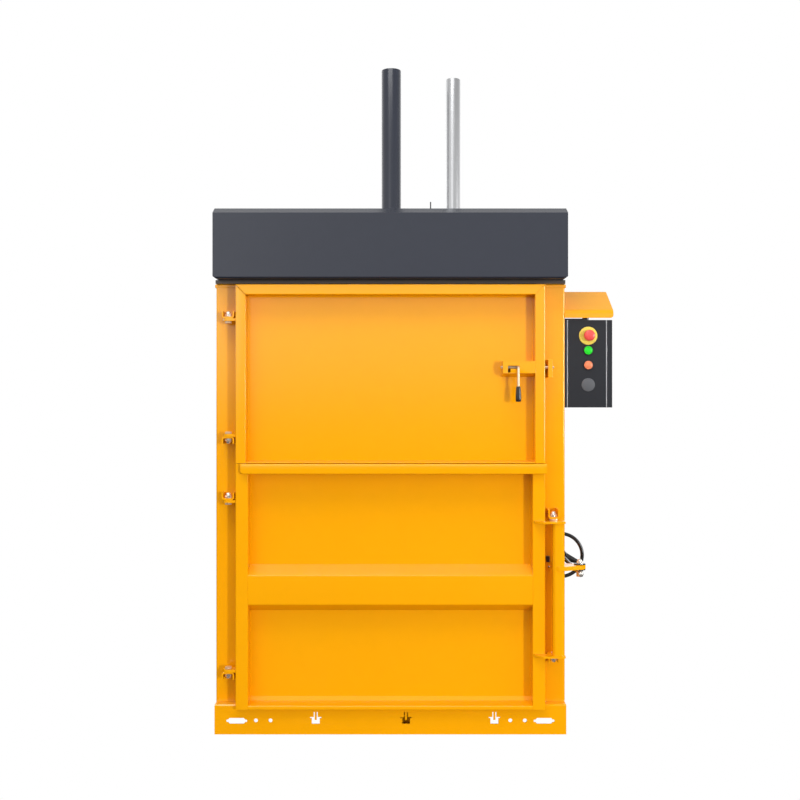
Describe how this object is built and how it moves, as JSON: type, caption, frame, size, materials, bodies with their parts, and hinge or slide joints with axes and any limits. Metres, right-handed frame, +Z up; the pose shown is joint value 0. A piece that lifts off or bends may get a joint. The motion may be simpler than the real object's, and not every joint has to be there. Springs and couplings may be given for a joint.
{
  "type": "recycling baler",
  "caption": "Upright hydraulic waste baler with an upper loading door, a lower bale door held by a handwheel clamp, a side control box and a press cylinder on top.",
  "frame": {"origin": "on the floor, at the middle of the body in plan", "axes": "+Z up, +X to the right of an operator facing the doors, the doors face -Y"},
  "size_m": [1.2168, 0.6936, 2.107],
  "materials": {
    "yellow_paint": "gloss",
    "dark_paint": "satin",
    "black_paint": "satin",
    "bare_steel": "satin",
    "bright_steel": "polished",
    "bronze": "satin",
    "cast_alloy": "satin",
    "hose_rubber": "matte",
    "black_plastic": "gloss",
    "grey_plastic": "satin",
    "yellow_plastic": "gloss",
    "red_plastic": "gloss",
    "green_plastic": "gloss",
    "orange_plastic": "gloss"
  },
  "bodies": {
    "frame": {"base_front_panel": "yellow_paint", "base_rear_panel": "yellow_paint", "base_side_rails": "yellow_paint", "base_centre_beam": "black_paint", "front_posts": "yellow_paint", "rear_posts": "yellow_paint", "side_walls": "yellow_paint", "rear_wall": "yellow_paint", "floor_plate": "bare_steel", "top_plate": "yellow_paint", "header_tray": "dark_paint", "header_cover": "dark_paint", "cylinder_barrel": "black_paint", "rod_bushes": "bronze", "oil_tank": "black_paint", "pump_motor": "black_paint", "pump": "cast_alloy", "valve_block": "bare_steel", "hydraulic_pipes": "hose_rubber", "limit_switch": "black_paint", "pivot_brackets": "yellow_paint", "pivot_bolts": "bright_steel", "dome_nuts": "bright_steel", "latch_keeper": "yellow_paint", "safety_switch": "black_paint", "control_box_case": "dark_paint", "control_panel": "dark_paint", "panel_trims": "cast_alloy", "estop_collar": "yellow_plastic", "button_bezels": "grey_plastic", "panel_plug": "grey_plastic", "control_box_mount": "dark_paint", "cable_gland": "black_plastic", "control_roof": "yellow_paint", "screw_bearing": "yellow_paint"},
    "press": {"press_plate": "bare_steel", "piston_rod": "bright_steel", "guide_rod": "bright_steel"},
    "upper_door": {"upper_door_shell": "yellow_paint", "upper_door_ears": "yellow_paint", "latch_housing": "yellow_paint"},
    "upper_latch": {"latch_bolt": "bare_steel", "latch_grip": "black_plastic"},
    "lower_door": {"lower_door_shell": "yellow_paint", "lower_door_rail": "yellow_paint", "lower_door_beam": "yellow_paint", "lower_door_ears": "yellow_paint"},
    "lock_clamp": {"hook_plates": "yellow_paint", "clamp_tube": "yellow_paint", "clamp_lever": "yellow_paint"},
    "lock_trunnion": {"trunnion": "bare_steel", "lever_washers": "black_plastic", "trunnion_nut": "bright_steel"},
    "handwheel": {"lock_screw": "bare_steel", "handwheel_rim": "black_plastic", "handwheel_spider": "black_plastic"},
    "estop": {"estop_button": "red_plastic"},
    "green": {"green_button": "green_plastic"},
    "orange": {"orange_button": "orange_plastic"}
  },
  "joints": [
    {"name": "upper_door_hinge", "type": "hinge", "parent": "frame", "child": "upper_door", "pos_m": [-0.489, -0.335, 1.08], "axis": [0, 0, 1], "range_deg": [-170, 0]},
    {"name": "latch_slide", "type": "slide", "parent": "upper_door", "child": "upper_latch", "axis": [-1, 0, 0], "range_m": [0, 0.026]},
    {"name": "lower_door_hinge", "type": "hinge", "parent": "frame", "child": "lower_door", "pos_m": [-0.489, -0.335, 0.45], "axis": [0, 0, 1], "range_deg": [-120, 0]},
    {"name": "press_slide", "type": "slide", "parent": "frame", "child": "press", "axis": [0, 0, -1], "range_m": [0, 0.6]},
    {"name": "handwheel_turn", "type": "hinge", "parent": "frame", "child": "handwheel", "pos_m": [0.57, 0.033, 0.488], "axis": [0, 1, 0], "range_deg": [0, 2607]},
    {"name": "clamp_swing", "type": "hinge", "parent": "frame", "child": "lock_clamp", "pos_m": [0.491, -0.345, 0.44], "axis": [0, 0, 1], "range_deg": [0, 25]},
    {"name": "trunnion_slide", "type": "slide", "parent": "frame", "child": "lock_trunnion", "axis": [0, 1, 0], "range_m": [0, 0.0363]},
    {"name": "estop_press", "type": "slide", "parent": "frame", "child": "estop", "axis": [0, 1, 0], "range_m": [0, 0.004], "stiffness_N_per_m": 600, "springref_m": -0.004},
    {"name": "green_press", "type": "slide", "parent": "frame", "child": "green", "axis": [0, 1, 0], "range_m": [0, 0.003], "stiffness_N_per_m": 400, "springref_m": -0.003},
    {"name": "orange_press", "type": "slide", "parent": "frame", "child": "orange", "axis": [0, 1, 0], "range_m": [0, 0.003], "stiffness_N_per_m": 400, "springref_m": -0.003}
  ],
  "couplings": [
    {"joint": "clamp_swing", "follows": "handwheel_turn", "ratio": 0.0095876},
    {"joint": "trunnion_slide", "follows": "handwheel_turn", "m_per_rad": 0.00079577}
  ]
}
